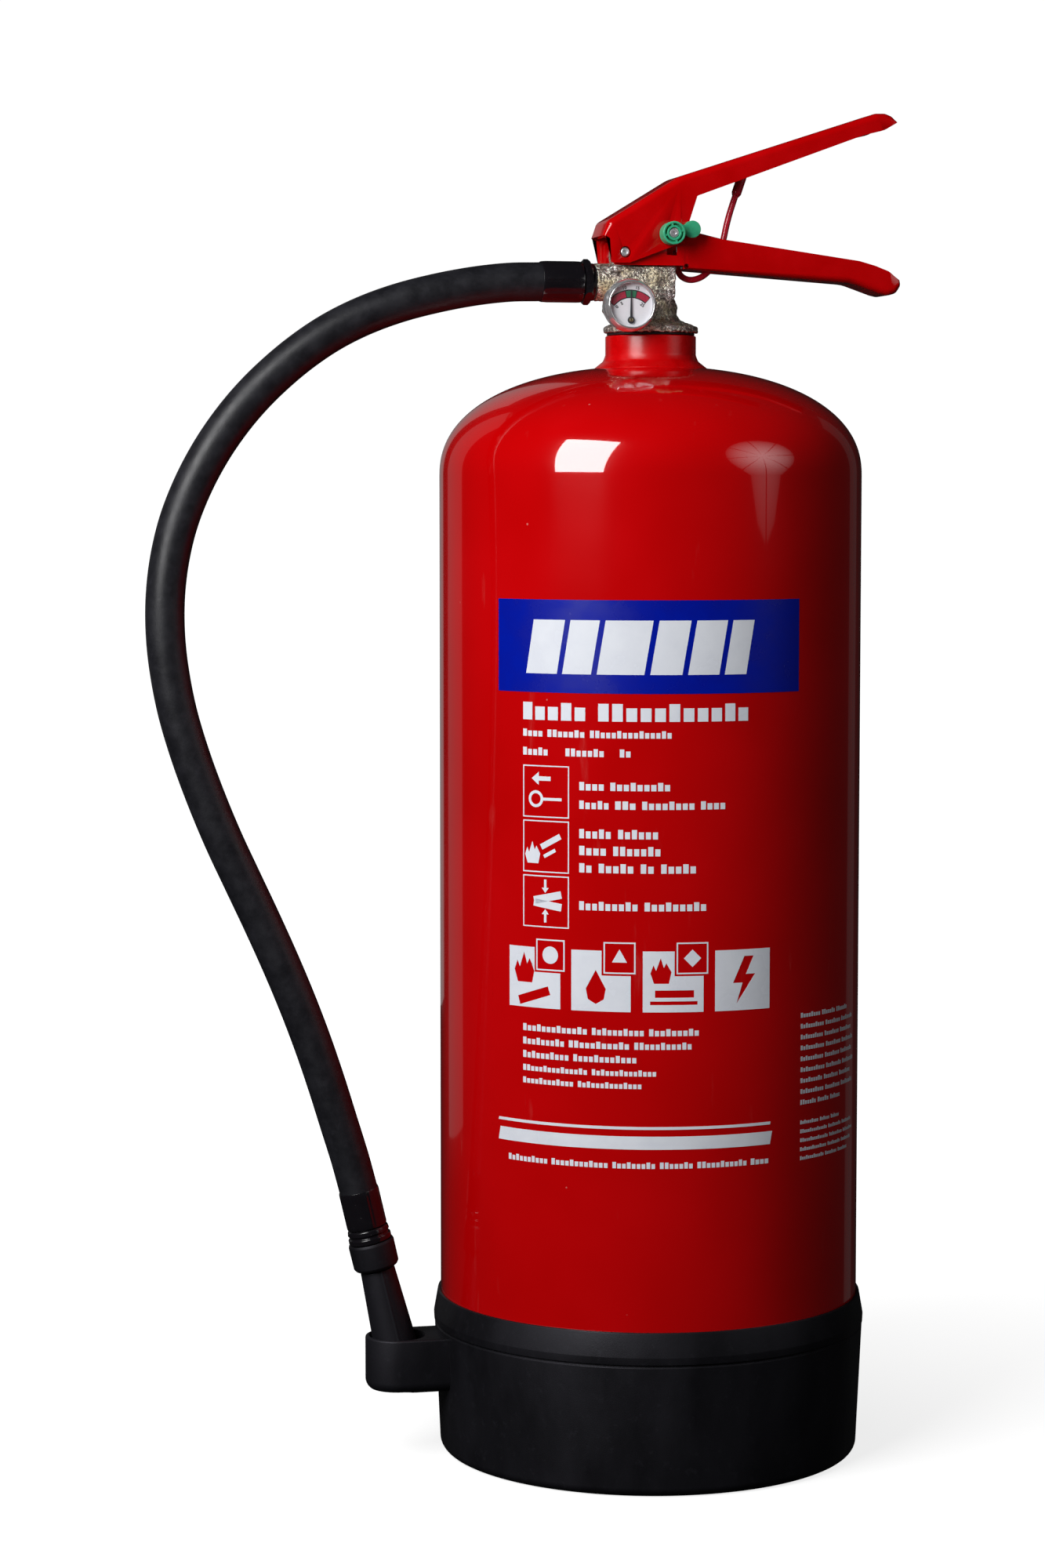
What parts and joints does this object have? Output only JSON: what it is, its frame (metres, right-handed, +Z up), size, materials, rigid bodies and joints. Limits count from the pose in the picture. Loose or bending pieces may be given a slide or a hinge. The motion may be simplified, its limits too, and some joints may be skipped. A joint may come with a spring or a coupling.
{
  "type": "fire extinguisher",
  "caption": "Stored-pressure powder fire extinguisher: red steel cylinder in a black boot, brass valve with gauge, squeeze lever, safety pin, and a hose whose nozzle rests in a holder.",
  "frame": {"origin": "on the cylinder's axis, at the flat underside of the boot", "axes": "+Z up along the cylinder, +X towards the tips of the two handles (the hose is at -X), -Y the side of the gauge and of the safety pin's head"},
  "size_m": [0.3257, 0.186, 0.5743],
  "materials": {
    "red_paint": "gloss",
    "boot_plastic": "matte",
    "hose_rubber": "satin",
    "black_metal": "gloss",
    "valve_brass": "satin",
    "steel": "satin",
    "chrome": "polished",
    "dial_white": "satin",
    "needle_black": "satin",
    "gauge_glass": "gloss",
    "green_plastic": "satin",
    "red_plastic": "gloss",
    "seal_rubber": "matte",
    "tube_plastic": "satin",
    "powder": "matte"
  },
  "bodies": {
    "extinguisher_body": {"cylinder_shell": "red_paint", "neck_ring": "red_paint", "powder_charge": "powder", "base_boot": "boot_plastic", "valve_body": "valve_brass", "valve_gasket": "seal_rubber", "handle_rivet": "steel", "pivot_rivet": "steel", "stem_o_ring": "seal_rubber", "stem_gland": "valve_brass", "spring_retainer": "valve_brass", "dip_tube": "tube_plastic", "valve_spring": "steel", "carry_handle": "red_paint", "gauge_socket": "valve_brass", "gauge_seal": "seal_rubber", "gauge_case": "chrome", "gauge_bezel": "chrome", "gauge_dial": "dial_white", "gauge_lens": "gauge_glass", "gauge_bourdon_tube": "valve_brass", "hose_tailpiece": "valve_brass", "hose_seal": "seal_rubber", "hose_nut": "black_metal", "hose_ferrule": "black_metal", "hose": "hose_rubber", "tamper_seal_strap": "red_plastic"},
    "lever": {"squeeze_lever": "red_paint", "lever_pusher": "steel"},
    "stem": {"valve_stem": "steel", "stem_seal": "seal_rubber"},
    "safety_pin": {"safety_pin_rod": "steel", "safety_pin_head": "green_plastic"},
    "gauge_pointer": {"gauge_needle": "needle_black", "gauge_arbor": "valve_brass"},
    "nozzle": {"nozzle_ferrule": "black_metal", "nozzle_ring": "black_metal", "nozzle_tailpiece": "valve_brass", "nozzle_collar": "boot_plastic", "nozzle_horn": "boot_plastic"}
  },
  "joints": [
    {"name": "lever_squeeze", "type": "hinge", "parent": "extinguisher_body", "child": "lever", "pos_m": [-0.0142, 0, 0.5139], "axis": [0, 1, 0], "range_deg": [0, 18], "stiffness_Nm_per_rad": 3, "springref_deg": -5.73, "deforming": ["tamper_seal_strap"]},
    {"name": "stem_stroke", "type": "slide", "parent": "extinguisher_body", "child": "stem", "axis": [0, 0, -1], "range_m": [0, 0.0046], "deforming": ["valve_spring"]},
    {"name": "safety_pin_pull", "type": "slide", "parent": "lever", "child": "safety_pin", "axis": [0, -1, 0], "range_m": [0, 0.04]},
    {"name": "gauge_needle_turn", "type": "hinge", "parent": "extinguisher_body", "child": "gauge_pointer", "pos_m": [-0.0151, -0.023, 0.4848], "axis": [0, 1, 0], "range_deg": [-50, 41], "stiffness_Nm_per_rad": 0.0005},
    {"name": "nozzle_lift", "type": "slide", "parent": "extinguisher_body", "child": "nozzle", "axis": [0, 0, 1], "range_m": [0, 0.03], "deforming": ["hose"]}
  ],
  "couplings": [
    {"joint": "stem_stroke", "follows": "lever_squeeze", "m_per_rad": 0.0145}
  ]
}
